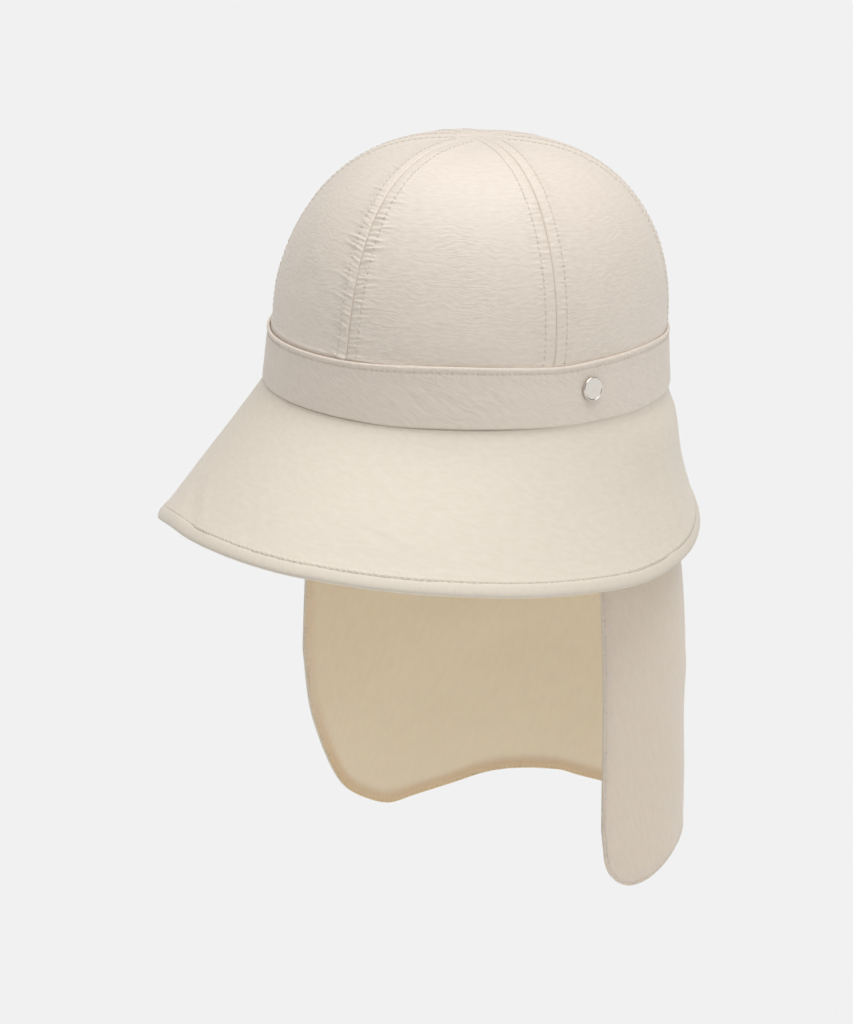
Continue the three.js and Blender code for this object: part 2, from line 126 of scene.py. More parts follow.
# Single soft creases: angle round the hat and height (on the brim, distance down it), which way
# each runs from level, in degrees, and its length, width and height in mm. One degree round
# the hat is taken as this many mm of the cloth.
CROWN_DEGREE, BAND_DEGREE, BRIM_DEGREE = 1.6, 1.65, 2
CROWN_CREASES = [
    (67, 46, 74, 36, 7, -0.5), (73, 48, 74, 38, 8, 0.3), (22, 44, 12, 26, 5, 0.12),
    (-14, 40, -40, 24, 4, 0.16), (-20, 52, -36, 26, 5, -0.16), (-24, 62, -30, 24, 5, 0.12),
    (-29, 58, 10, 20, 9, 0.18), (-29, 49, 10, 20, 9, -0.18),
]
BAND_CREASES = [
    (14, 11, -36, 12, 2, 0.16), (20, 12, -38, 12, 2.2, -0.2), (25, 14, -38, 12, 2, -0.18),
    (31, 11, -35, 13, 2.2, -0.2), (37, 12, -38, 12, 2, 0.16), (44, 11, -36, 12, 2.2, -0.16),
    (80, 15, 74, 16, 2.4, 0.24), (84, 14, 76, 18, 2.4, -0.24), (89, 13, 78, 20, 2.8, 0.3),
    (94, 13, 80, 20, 2.8, -0.3), (100, 13, 82, 20, 2.8, 0.24),
]
BRIM_CREASES = [
    (16, 50, 28, 30, 3, 0.15), (19, 54, 28, 26, 3, -0.16), (14, 55, 30, 22, 3, 0.1),
    (24, 56, 24, 20, 3, 0.1), (-50, 8, 0, 16, 2, -0.35), (-30, 58, 40, 30, 9, -0.45),
    (-22, 62, 40, 24, 7, 0.25), (-36, 50, -20, 20, 4, 0.2), (86, 34, 90, 44, 14, -1.0),
    (97, 38, 90, 44, 12, 0.7),
]

# Neck flap
FLAP_MIDDLE = 167.4
FLAP_HALF_SPAN = 95.6
FLAP_LEAN = 0.04
FLAP_TOP = -3.0
FLAP_WALL = 0.8
FLAP_HEM = 6.0
FLAP_HEM_EXTRA = 0.6
FLAP_STITCH_IN = 1.1
FLAP_SECTIONS = dict(
    depth=[-3, 20, 55, 90, 130, 170, 210, 260],
    out=[-4.3, -1.8, 3.6, 8.7, 12, 13.6, 15, 16],
)
FLAP_LOWER_EDGE = dict(
    place=[-1, -0.985, -0.947, -0.895, -0.82, -0.74, -0.66, -0.56, -0.46, -0.32, -0.2, 0.05,
           0.13, 0.2, 0.38, 0.53, 0.62, 0.69, 0.77, 0.84, 0.89, 0.94, 0.975, 1],
    depth=[188, 205, 215, 220.5, 221.8, 219, 215.6, 215, 218, 224, 228, 234.5,
           235, 234, 238.5, 249, 254, 256.3, 250.5, 241, 227, 207, 187, 160],
)
# Degrees from the middle, width in degrees, height in mm
FLAP_FOLDS = [
    (-88, 11, -1.6), (-64, 11, 1.4), (-24, 13, -2), (4, 14, 2), (34, 14, -1.8), (62, 13, 1.8),
    (88, 11, -1.6),
]
# The free edge on the right stands out a little: how far, and where along and down the flap
STAND_OUT = 1.6
STAND_OUT_FROM = 0.85
STAND_OUT_STARTS = (10, 40)
STAND_OUT_ENDS = (70, 130)
# From where to where down the flap its folds grow
FOLDS_GROW = (20, 200)
FLAP_HALF_WIDTH = math.radians(FLAP_HALF_SPAN) * (MEAN_RADIUS + 9)

# Stud
STUD_ANGLE = math.radians(70)
STUD_HEIGHT = 14
POST_RADIUS = 1.2
POST_LENGTH = 3.0

# Topstitching: thread of about 0.25 mm, drawn a little thicker so that each stitch shows
STITCH_PITCH = 2.7
STITCH_LENGTH = 1.9
THREAD = 0.4
STITCH_PROUD = 0.12
STITCH_UNEVENNESS = 0.15
# The fine puckers beside a row of stitches: how many for each stitch, and how far they reach
PUCKERS_PER_STITCH = 1.6
PUCKERS_REACH = 6.0


# Shape helpers

def smoothstep(x, low, high):
    share = np.clip((x - low) / (high - low), 0, 1)
    return share * share * (3 - 2 * share)


def window(x, starts, ends):
    """0, then 1 between two soft steps, then 0 again."""
    return smoothstep(x, *starts) * (1 - smoothstep(x, *ends))


def ridge(distance, width, height=1):
    """A rounded ridge across the given distance from its middle line."""
    return height * np.exp(-((distance / width) ** 2))


def read_table(table, key, at, column, level_ends=True):
    """A smooth curve through a table's rows."""
    keys = np.array(table[key], float)
    values = np.array(table[column], float)
    slopes = np.zeros_like(values)
    slopes[1:-1] = (values[2:] - values[:-2]) / (keys[2:] - keys[:-2])
    if not level_ends:
        slopes[[0, -1]] = np.diff(values)[[0, -1]] / np.diff(keys)[[0, -1]]
    i = np.clip(np.searchsorted(keys, at, side="right") - 1, 0, len(keys) - 2)
    run = keys[i + 1] - keys[i]
    s = np.clip((at - keys[i]) / run, 0, 1)
    return (
        (2 * s**3 - 3 * s**2 + 1) * values[i]
        + (s**3 - 2 * s**2 + s) * run * slopes[i]
        + (3 * s**2 - 2 * s**3) * values[i + 1]
        + (s**3 - s**2) * run * slopes[i + 1]
    )


# Noise repeats after this many bumps, and is read from this bump on
NOISE_BUMPS = 32
NOISE_START = 100


def noise(points, size, seed):
    """Soft random heights from -1 to 1, with bumps of the given size in mm along X, Y, Z."""
    values = np.random.default_rng(seed).uniform(-1, 1, [NOISE_BUMPS] * 3)
    cell = np.asarray(points) / np.asarray(size, float) + NOISE_START
    low = np.floor(cell).astype(int)
    part = cell - low
    part = part * part * (3 - 2 * part)
    total = np.zeros(part.shape[:-1])
    for corner in np.ndindex(2, 2, 2):
        weight = np.prod(np.where(corner, part, 1 - part), axis=-1)
        at = (low + corner) % NOISE_BUMPS
        total += weight * values[at[..., 0], at[..., 1], at[..., 2]]
    return total


def bumps(rows, points):
    """Soft random bumps. Each row is their height in mm, their size and a seed."""
    return sum(height * noise(points, size, seed) for height, size, seed in rows)


def creases(rows, angle, along, mm_per_degree):
    """The relief of single creases, at angles round the hat and distances along its cloth."""
    relief = np.zeros(np.broadcast(angle, along).shape)
    for degrees, middle, turn, length, width, height in rows:
        off = (np.degrees(angle) - degrees + 180) % 360 - 180
        across, up = off * mm_per_degree, along - middle
        cos, sin = math.cos(math.radians(turn)), math.sin(math.radians(turn))
        forward, sideways = across * cos + up * sin, up * cos - across * sin
        relief += height * ridge(forward, length / 2) * ridge(sideways, width / 2)
    return relief


def stack(*parts):
    return np.stack(np.broadcast_arrays(*parts), -1).astype(float)


def ring_normal(angle):
    x, y = np.sin(angle) / HALF_WIDTH, -np.cos(angle) / HALF_LENGTH
    return stack(x, y, 0) / np.hypot(x, y)[..., None]


def ring_point(angle, out, z):
    """Points round the head ellipse, moved outwards and to a height."""
    level = stack(HALF_WIDTH * np.sin(angle), -HALF_LENGTH * np.cos(angle), z)
    return level + np.asarray(out)[..., None] * ring_normal(angle)


def leaning_normal(angle, slope):
    """The outward normal of cloth that flares from the head ellipse by slope."""
    level = ring_normal(angle) * np.cos(slope)[..., None]
    return level + stack(0, 0, np.sin(slope))


def band_face(z):
    return -BAND_LEAN * z / BAND_HEIGHT


def unit(vectors):
    return vectors / np.maximum(np.linalg.norm(vectors, axis=-1, keepdims=True), TINY)


def distance_along(points):
    """Distance from the first point of a line to each of its points."""
    steps = np.linalg.norm(np.diff(points, axis=0), axis=-1)
    return np.concatenate([[0], np.cumsum(steps)])


def stitch_numbers(points):
    """Numbers a line's points by the stitch they fall on, with a whole number of stitches."""
    length = distance_along(points)
    return length / length[-1] * round(length[-1] / STITCH_PITCH)


# Meshes

def quads(rows, columns):
    r, c = np.meshgrid(np.arange(rows - 1), np.arange(columns - 1), indexing="ij")
    here = r * columns + c
    return np.stack([here, here + 1, here + columns + 1, here + columns], -1).reshape(-1, 4)


def new_object(name, data):
    made = bpy.data.objects.new(name, data)
    bpy.context.scene.collection.objects.link(made)
    return made


def new_mesh(name, points, faces=(), materials=()):
    """A smooth mesh in metres from points in mm."""
    mesh = bpy.data.meshes.new(name)
    mesh.from_pydata((points * MM).tolist(), [], faces)
    mesh.shade_smooth()
    for material in materials:
        mesh.materials.append(material)
    return mesh


def stand_for(mesh, node):
    """Puts a mesh in the scene as a piece that takes the place of a node."""
    piece = new_object(mesh.name, mesh)
    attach(piece, "root")
    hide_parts(node)
    return piece


def make_piece(name, node, points, faces, materials, maps, slots=None):
    """A piece from a grid of points in mm and faces with four corners. maps are UV maps by
    name, with one place for each face corner."""
    used, faces = np.unique(faces, return_inverse=True)
    faces = faces.reshape(-1, 4).tolist()
    mesh = new_mesh(name, points.reshape(-1, 3)[used], faces, materials)
    if slots is not None:
        mesh.polygons.foreach_set("material_index", slots)
    for map_name, corners in maps.items():
        layer = mesh.uv_layers.new(name=map_name)
        layer.data.foreach_set("uv", corners.ravel())
    mesh.validate()
    return stand_for(mesh, node)


def cloth_shell(name, node, outer, inner, maps, materials, ring=False):
    """A closed wall between an outer and an inner grid of points. Columns grow towards the
    wearer's left and rows grow upwards. maps holds a grid of places for each UV map. A
    ring's last column lies on its first. The first material is outside."""
    rows, columns = outer.shape[:2]
    count = rows * columns
    face = quads(rows, columns)
    c, r = np.arange(columns - 1), np.arange(rows - 1) * columns
    top, side = c + count - columns, r + columns - 1
    edges = [
        np.stack([c, c + count, c + 1 + count, c + 1], -1),
        np.stack([top, top + 1, top + 1 + count, top + count], -1),
    ]
    if not ring:
        edges += [
            np.stack([r, r + columns, r + columns + count, r + count], -1),
            np.stack([side, side + count, side + columns + count, side + columns], -1),
        ]
    faces = np.concatenate([face, face[:, ::-1] + count] + edges)
    slots = np.zeros(len(faces), int)
    slots[len(face) : 2 * len(face)] = len(materials) - 1
    corners = {key: grid.reshape(-1, 2)[faces % count] for key, grid in maps.items()}
    if ring:
        number = np.arange(2 * count)
        last = number % columns == columns - 1
        faces = np.where(last, number - columns + 1, number)[faces]
    points = np.stack([outer, inner])
    return make_piece(name, node, points, faces, materials, corners, slots)


# Materials

def linear(code):
    """An sRGB hex colour as linear red, green, blue and alpha."""
    parts = [int(code[i : i + 2], 16) / 255 for i in (0, 2, 4)]
    curve = [p / 12.92 if p <= 0.04045 else ((p + 0.055) / 1.055) ** 2.4 for p in parts]
    return (*curve, 1)


def feed(tree, sockets, inputs):
    """Gives sockets their inputs: values, outputs of nodes, or nodes for their first output."""
    for key, value in inputs.items():
        if isinstance(value, bpy.types.Node):
            value = value.outputs[0]
        if isinstance(value, bpy.types.NodeSocket):
            tree.links.new(value, sockets[key])
        else:
            sockets[key].default_value = value


def add(tree, kind, inputs, **settings):
    """Adds a node, which is a shader node unless kind says otherwise."""
    node = tree.nodes.new(kind if "Node" in kind else "ShaderNode" + kind)
    for key, value in settings.items():
        setattr(node, key, value)
    feed(tree, node.inputs, inputs)
    return node


def start_material(name):
    material = bpy.data.materials.new(name)
    material.use_nodes = True
    return material, material.node_tree, material.node_tree.nodes["Principled BSDF"].inputs


# Mix's factor, its two colours and its colour output. Map Range's four numbers, 1 to 4, are
# the ends of the range that it is given and of the range that it gives.
FACTOR, FIRST, SECOND, MIXED = 0, 6, 7, 2

# A wave texture repeats after a tenth of pi at scale 1. The weave's threads and the sewing
# thread's twist are drawn this far apart, in mm
WAVE = math.pi / 10 / MM
WEAVE_DRAWN = 0.8
TWIST_DRAWN = 0.5

# How far creases are bent, in metres
CREASE_BEND = (0.004, 0.006, 0)
# How strong creases are, as Map Range's numbers: in patches, and weaker at the crown's top
PATCH_STRENGTH = (0.35, 0.65, 0.3, 1.15)
TOP_STRENGTH = (0.045, 0.11, 1, 0.4)

# Needle holes: colour of their painted shade, how much shows, where they fade (mm), least depth
HOLE_SHADE_COLOUR = "7d7264"
HOLE_SHADE_SHARE = 0.17
HOLE_FADE = (0.1, 0.9)
HOLE_LEAST = 0.45

# How high the relief stands, in mm
WEAVE_DEPTH = 0.003
PUCKER_DEPTH = 0.5
HOLE_DEPTH = 0.18

# Where the double hem's painted shade shows (Map Range's numbers): near its stitches, low down
HEM_ACROSS = (2, 5, 1, 0)
HEM_LOW = (-0.19, -0.225, 0.15, 1)


def crinkle(tree, place, crease, tilt):
    """Long and narrow creases, bent a little: their pattern, and their uneven height."""
    drift = add(tree, "TexNoise", {"Vector": place, "Scale": 70})
    inputs = {0: drift.outputs["Color"], 1: CREASE_BEND, 2: place}
    bend = add(tree, "VectorMath", inputs, operation="MULTIPLY_ADD")
    turned = add(tree, "Mapping", {"Vector": bend, "Rotation": (0, 0, tilt)})
    stretch = (1 / (crease[0] * MM), 1 / (crease[1] * MM), 1)
    drawn = add(tree, "Mapping", {"Vector": turned, "Scale": stretch})
    pattern = add(tree, "TexNoise", {"Vector": drawn, "Scale": 1, "Detail": 4, "Roughness": 0.58})
    patches = add(tree, "TexNoise", {"Vector": place, "Scale": 30})
    level = add(tree, "SeparateXYZ", {0: place}).outputs[1]
    height = pattern
    for value, ends in ((patches, PATCH_STRENGTH), (level, TOP_STRENGTH)):
        strength = add(tree, "MapRange", {"Value": value, **dict(enumerate(ends, 1))})
        height = add(tree, "Math", {0: height, 1: strength}, operation="MULTIPLY")
    return pattern, height


def needle_holes(tree, number, to_row, holes):
    """A hole at each whole number of stitches along a row, some deeper than others."""
    shifted = add(tree, "Math", {0: number, 1: 0.5}, operation="ADD")
    whole = add(tree, "Math", {0: shifted}, operation="FLOOR")
    chance = add(tree, "TexWhiteNoise", {"W": whole}, noise_dimensions="1D")
    chance = add(tree, "MapRange", {"Value": chance, 3: HOLE_LEAST * holes, 4: holes})
    step = add(tree, "Math", {0: shifted}, operation="FRACT")
    inputs = {0: step, 1: STITCH_PITCH, 2: -STITCH_PITCH / 2}
    step = add(tree, "Math", inputs, operation="MULTIPLY_ADD")
    off = add(tree, "CombineXYZ", {0: step, 1: to_row})
    off = add(tree, "VectorMath", {0: off}, operation="LENGTH").outputs["Value"]
    inputs = {"Value": off, 1: HOLE_FADE[0], 2: HOLE_FADE[1], 3: 1, 4: 0}
    hole = add(tree, "MapRange", inputs, interpolation_type="SMOOTHSTEP")
    return add(tree, "Math", {0: hole, 1: chance}, operation="MULTIPLY")


def fine_puckers(tree, seam_place, to_row, puckered):
    """Fine puckers, which the stitches draw in on both sides of their row."""
    away = add(tree, "Math", {0: to_row}, operation="ABSOLUTE")
    inputs = {"Value": away, 1: 0.5, 2: PUCKERS_REACH, 3: puckered, 4: 0}
    beside = add(tree, "MapRange", inputs, interpolation_type="SMOOTHSTEP")
    scale = (PUCKERS_PER_STITCH, 0.15, 1)
    drawn_in = add(tree, "Mapping", {"Vector": seam_place, "Scale": scale})
    ripple = add(tree, "TexNoise", {"Vector": drawn_in, "Scale": 1, "Detail": 1})
    return add(tree, "Math", {0: ripple, 1: beside}, operation="MULTIPLY")


def woven_nylon(
    name, light, painted_shade, crease, depth, tilt=0.0, hem=None, thin=0.0, rough=0.62, holes=1.0,
    puckered=1.0,
):
    """Crinkled nylon, woven and heat-set: matt with a faint silky sheen, and covered in fine
    creases that catch the light. crease is their length and width and depth their height, in
    mm, and tilt turns them. The two tones are painted on the creases: the lighter on their
    crests as painted highlight, the darker in their hollows as painted shade. The threads are
    0.15 mm apart, too fine to show, and are drawn wider. Needle holes show as small dents
    between the stitches, with painted shade in them, as marked as holes says, and puckered is
    how much the stitches draw the cloth in. hem is a darker colour painted near the cloth's
    lower edge, where it is double: painted shade where less light comes through. thin is how
    much light comes through."""
    material, tree, surface = start_material(name)
    place = add(tree, "UVMap", {}, uv_map="cloth")
    seam_place = add(tree, "UVMap", {}, uv_map="stitching")
    number, to_row, _ = add(tree, "SeparateXYZ", {0: seam_place}).outputs
    pattern, creased = crinkle(tree, place, crease, tilt)
    hole = needle_holes(tree, number, to_row, holes)
    pucker = fine_puckers(tree, seam_place, to_row, puckered)
    threads = {"Vector": place, "Scale": WAVE / WEAVE_DRAWN, "Distortion": 0.8}
    along, across = (
        add(tree, "TexWave", threads, bands_direction=way).outputs["Fac"] for way in "XY"
    )
    weave = add(tree, "Math", {0: along, 1: across}, operation="ADD")

    # The relief of the threads, then the creases, the puckers and the holes
    normal = {}
    for height, distance, down in (
        (weave, WEAVE_DEPTH, False),
        (creased, 2 * depth, False),
        (pucker, PUCKER_DEPTH, False),
        (hole, HOLE_DEPTH, True),
    ):
        inputs = {"Height": height, "Distance": distance * MM, **normal}
        normal = {"Normal": add(tree, "Bump", inputs, invert=down)}

    # Colour: creases' painted shade and painted highlight, then the hem's and holes' painted
    # shade
    layers = [(add(tree, "MapRange", {"Value": pattern, 1: 0.3, 2: 0.65}), light)]
    # The double hem's colour is painted shade
    if hem:
        level = add(tree, "SeparateXYZ", {0: place}).outputs[1]
        past, low = (
            add(tree, "MapRange", {"Value": value, **dict(enumerate(ends, 1))})
            for value, ends in ((to_row, HEM_ACROSS), (level, HEM_LOW))
        )
        both = add(tree, "Math", {0: past, 1: low}, operation="MULTIPLY")
        layers.append((both, hem))
    # Painted shade in the needle holes
    hole_shade = add(tree, "Math", {0: hole, 1: HOLE_SHADE_SHARE}, operation="MULTIPLY")
    layers.append((hole_shade, HOLE_SHADE_COLOUR))
    colour = linear(painted_shade)
    for share, over in layers:
        tones = {FACTOR: share, FIRST: colour, SECOND: linear(over)}
        colour = add(tree, "Mix", tones, data_type="RGBA").outputs[MIXED]
    finish = {
        **normal,
        "Base Color": colour,
        "Subsurface Weight": thin,
        "Subsurface Radius": (1, 0.8, 0.55),
        "Subsurface Scale": 2 * MM,
        "Roughness": rough,
        "Specular IOR Level": 0.45,
        "Sheen Weight": 0.12,
        "Sheen Roughness": 0.45,
    }
    feed(tree, surface, finish)
    return material


def spun_thread(name, colour, painted_shade):
    """Sewing thread, spun polyester: matt, with a fine slanting twist whose grooves hold
    painted shade. The twist is 0.2 mm, too fine to show, and is drawn wider."""
    material, tree, surface = start_material(name)
    place = add(tree, "TexCoord", {}).outputs["Object"]
    inputs = {"Vector": place, "Scale": WAVE / TWIST_DRAWN}
    twist = add(tree, "TexWave", inputs, bands_direction="DIAGONAL").outputs["Fac"]
    bump = add(tree, "Bump", {"Height": twist, "Distance": 0.03 * MM})
    # Painted shade in the twist's grooves
    tones = {FACTOR: twist, FIRST: linear(painted_shade), SECOND: linear(colour)}
    tone = add(tree, "Mix", tones, data_type="RGBA").outputs[MIXED]
    feed(tree, surface, {"Normal": bump, "Base Color": tone, "Roughness": 0.7})
    return material


def nickel_plate(name):
    """Nickel plate on stamped steel, polished: bright and slightly warm, with fine scratches
    and a little haze from handling."""
    material, tree, surface = start_material(name)
    place = add(tree, "TexCoord", {}).outputs["Object"]
    haze = add(tree, "TexNoise", {"Vector": place, "Scale": 600, "Detail": 4})
    rough = add(tree, "MapRange", {"Value": haze, 1: 0.3, 2: 0.7, 3: 0.16, 4: 0.3})
    long_ones = add(tree, "Mapping", {"Vector": place, "Scale": (9000, 9000, 900)})
    scratches = add(tree, "TexNoise", {"Vector": long_ones, "Scale": 1})
    bump = add(tree, "Bump", {"Height": scratches, "Strength": 0.15, "Distance": 0.01 * MM})
    tones = {FACTOR: haze, FIRST: linear("dad4cb"), SECOND: linear("f0ebe3")}
    tone = add(tree, "Mix", tones, data_type="RGBA").outputs[MIXED]
    feed(tree, surface, {"Normal": bump, "Base Color": tone, "Roughness": rough, "Metallic": 1})
    return material


# Each nylon's two tones: painted highlight on the creases' crests, painted shade in hollows
crown_nylon = woven_nylon("crinkled nylon", "e8ddd0", "e0d4c7", (4.6, 1.35), 0.23, rough=0.52)
band_nylon = woven_nylon("smooth nylon", "e8dccf", "e1d5c8", (5, 1.4), 0.24, tilt=0.45)
brim_nylon = woven_nylon(
    "cream nylon on stiffener", "e5dbcc", "e0d5c5", (5, 2.1), 0.03, tilt=0.2, holes=0.7,
    puckered=0.5,
)
edge_nylon = woven_nylon("cream nylon over cord", "ded4c5", "d9cfc0", (3, 1.4), 0.02, tilt=1.1)
flap_outside = woven_nylon("beige nylon", "e0d4c6", "dbcfc0", (9, 2), 0.012, tilt=1.2, thin=0.6)
# The flap's inside: the outside's cloth painted lighter, as painted light coming through it
flap_inside_painted_light = woven_nylon(
    "beige nylon, painted lighter inside", "efe1cc", "ecddc8", (9, 3), 0.008, tilt=1.2, hem="e2cdaa", thin=0.6
)
thread = spun_thread("spun polyester thread", "e4dbce", "dbd1c3")
nickel = nickel_plate("polished nickel plate")


# Stitches

def stitch_maker():
    """A node tree that lays one stitch on each point it is given."""
    tree = bpy.data.node_groups.new("stitches", "GeometryNodeTree")
    face = tree.interface
    face.new_socket("Geometry", in_out="INPUT", socket_type="NodeSocketGeometry")
    sizes = [(name, "Float") for name in ("Stitch length", "Thread thickness", "Unevenness")]
    for name, kind in (*sizes, ("Seed", "Int"), ("Thread", "Material")):
        face.new_socket(name, in_out="INPUT", socket_type="NodeSocket" + kind)
    face.new_socket("Geometry", in_out="OUTPUT", socket_type="NodeSocketGeometry")
    given = tree.nodes.new("NodeGroupInput").outputs
    stitch = add(tree, "GeometryNodeMeshUVSphere", {"Segments": 8, "Rings": 4, "Radius": 0.5})
    stitch = add(tree, "GeometryNodeSetShadeSmooth", {0: stitch})
    ahead, out = (
        add(tree, "GeometryNodeInputNamedAttribute", {"Name": key}, data_type="FLOAT_VECTOR")
        for key in ("ahead", "out")
    )
    turn = add(tree, "FunctionNodeAlignRotationToVector", {"Vector": ahead}, axis="X")
    inputs = {"Rotation": turn, "Vector": out}
    turn = add(
        tree, "FunctionNodeAlignRotationToVector", inputs, axis="Z", pivot_axis="X"
    )
    thick = given["Thread thickness"]
    size = add(tree, "CombineXYZ", {0: given["Stitch length"], 1: thick, 2: thick})
    least = add(tree, "Math", {0: 1.0, 1: given["Unevenness"]}, operation="SUBTRACT")
    inputs = {2: least, 3: 1.0, "Seed": given["Seed"]}
    uneven = add(tree, "FunctionNodeRandomValue", inputs, data_type="FLOAT")
    size = add(tree, "VectorMath", {0: size, "Scale": uneven.outputs[1]}, operation="SCALE")
    placing = {"Points": given["Geometry"], "Instance": stitch, "Rotation": turn, "Scale": size}
    laid = add(tree, "GeometryNodeInstanceOnPoints", placing)
    real = add(tree, "GeometryNodeRealizeInstances", {"Geometry": laid})
    sewn = add(tree, "GeometryNodeSetMaterial", {"Geometry": real, "Material": given["Thread"]})
    tree.links.new(sewn.outputs[0], tree.nodes.new("NodeGroupOutput").inputs[0])
    return tree


stitch_tree = stitch_maker()


def row_of_stitches(points, normals, numbers):
    """The middle, direction and outward normal of each whole stitch along a line."""
    first, last = math.ceil(numbers[0] - TINY), math.floor(numbers[-1] + TINY)
    middles = np.arange(first, last) + 0.5
    centre, out = (
        np.stack([np.interp(middles, numbers, line[:, i]) for i in range(3)], -1)
        for line in (points, normals)
    )
    return centre + STITCH_PROUD * out, np.gradient(centre, axis=0), out


def sew(name, rows, seed):
    """One piece of all the stitches in the rows, each lying half in the cloth."""
    centre, ahead, out = (np.concatenate(part) for part in zip(*rows))
    mesh = new_mesh(name, centre)
    for key, values in (("ahead", ahead), ("out", out)):
        attribute = mesh.attributes.new(key, "FLOAT_VECTOR", "POINT")
        attribute.data.foreach_set("vector", values.ravel())
    seat = new_object(name, mesh)
    maker = seat.modifiers.new("stitches", "NODES")
    maker.node_group = stitch_tree
    wanted = {
        "Stitch length": STITCH_LENGTH * MM,
        "Thread thickness": THREAD * MM,
        "Unevenness": STITCH_UNEVENNESS,
        "Seed": seed,
        "Thread": thread,
    }
    for socket in stitch_tree.interface.items_tree:
        if socket.name in wanted:
            maker[socket.identifier] = wanted[socket.name]
    seen = seat.evaluated_get(bpy.context.evaluated_depsgraph_get())
    made = bpy.data.meshes.new_from_object(seen)
    seat.modifiers.clear()
    seat.data = made
    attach(seat, "root")
    return seat


# Crown

PROFILE_POINTS = 4000


def crown_profile(step):
    """The dome's side view from under the band to its top: radius, height, distance up."""
    turn = np.linspace(0, math.pi / 2, PROFILE_POINTS)
    rise = np.sin(turn) ** (2 / CROWN_RISE_POWER)
    radius = CROWN_BASE * np.abs(np.cos(turn)) ** (2 / CROWN_SPREAD_POWER)
    height = BAND_HEIGHT + CROWN_EASE_HEIGHT + (CROWN_RISE - CROWN_EASE_HEIGHT) * rise
    radius = np.concatenate([[CROWN_BASE], radius])
    height = np.concatenate([[BAND_HEIGHT - TUCK], height])
    up = distance_along(stack(radius, height))
    at = np.linspace(0, up[-1] - CROWN_END, round(up[-1] / step))
    return np.interp(at, up, radius), np.interp(at, up, height), at


def seam_angle(seam, height):
    risen = np.maximum(height - BAND_HEIGHT, 0) / CROWN_RISE
    return np.radians(seam["turn"] + seam["sway"] * risen**2)


# Distances from a seam at which a panel's columns run, close together where it is stitched
NEAR_SEAM = np.array([0, 0.3, 0.7, 1.2, 2, 3, 4, 4.6, 5, 5.4, 6, 7, 8.2, 9.6, 11.2, 13, 15, 17])
NEAR_SHARE = 0.42
MIDDLE_COLUMNS = 26
# Heights where soft bumps begin, radii where seams fade, and the inner side's share of relief
BUMPS_BEGIN, SEAMS_MEET, INNER_SHARE = (24, 36), (3, 12), 0.7
# Rows are closer together on the two panels beside the most puckered seam
ROW_STEP, FINE_ROW_STEP = 0.75, 0.45
FINE_PANELS = (0, 5)


def seam_relief(distance):
    """The cloth beside a crown seam: a sharp groove, the turned edges underneath, and the
    channel that the topstitching pulls in."""
    turned_edges = TURNED_EDGES * (1 - smoothstep(distance, *TURNED_EDGES_END))
    channel = ridge(distance - TOPSTITCH, *SEAM_CHANNEL)
    return turned_edges - ridge(distance, *SEAM_GROOVE) - channel


def puckers(seam, side, distance, up, height):
    """Small creases that fan out from a seam's stitching. side is 0 before the seam and 1
    after it."""
    dice = np.random.default_rng(2 * round(seam["turn"] + 10) + side)
    relief = np.zeros_like(distance)
    start = 0.0
    while start < up.max():
        start += PUCKER_PITCH * dice.uniform(*PUCKER_RANGES["pitch"])
        length = seam["length"] * dice.uniform(*PUCKER_RANGES["length"])
        steep = seam["steep"][side] + dice.uniform(*PUCKER_RANGES["steep"])
        middle = start + steep * distance * (1 - 0.4 * distance / length)
        fade = window(distance, (0, 1), (0.3 * length, length))
        wide = PUCKER_WIDTH * dice.uniform(*PUCKER_RANGES["width"])
        high = dice.uniform(*PUCKER_RANGES["height"])
        relief += high * fade * ridge(up - middle, wide)
    begins, ends = (smoothstep(height, *(seam[key] + PUCKER_FADE)) for key in ("low", "high"))
    return seam["depth"] * begins * (1 - ends) * relief


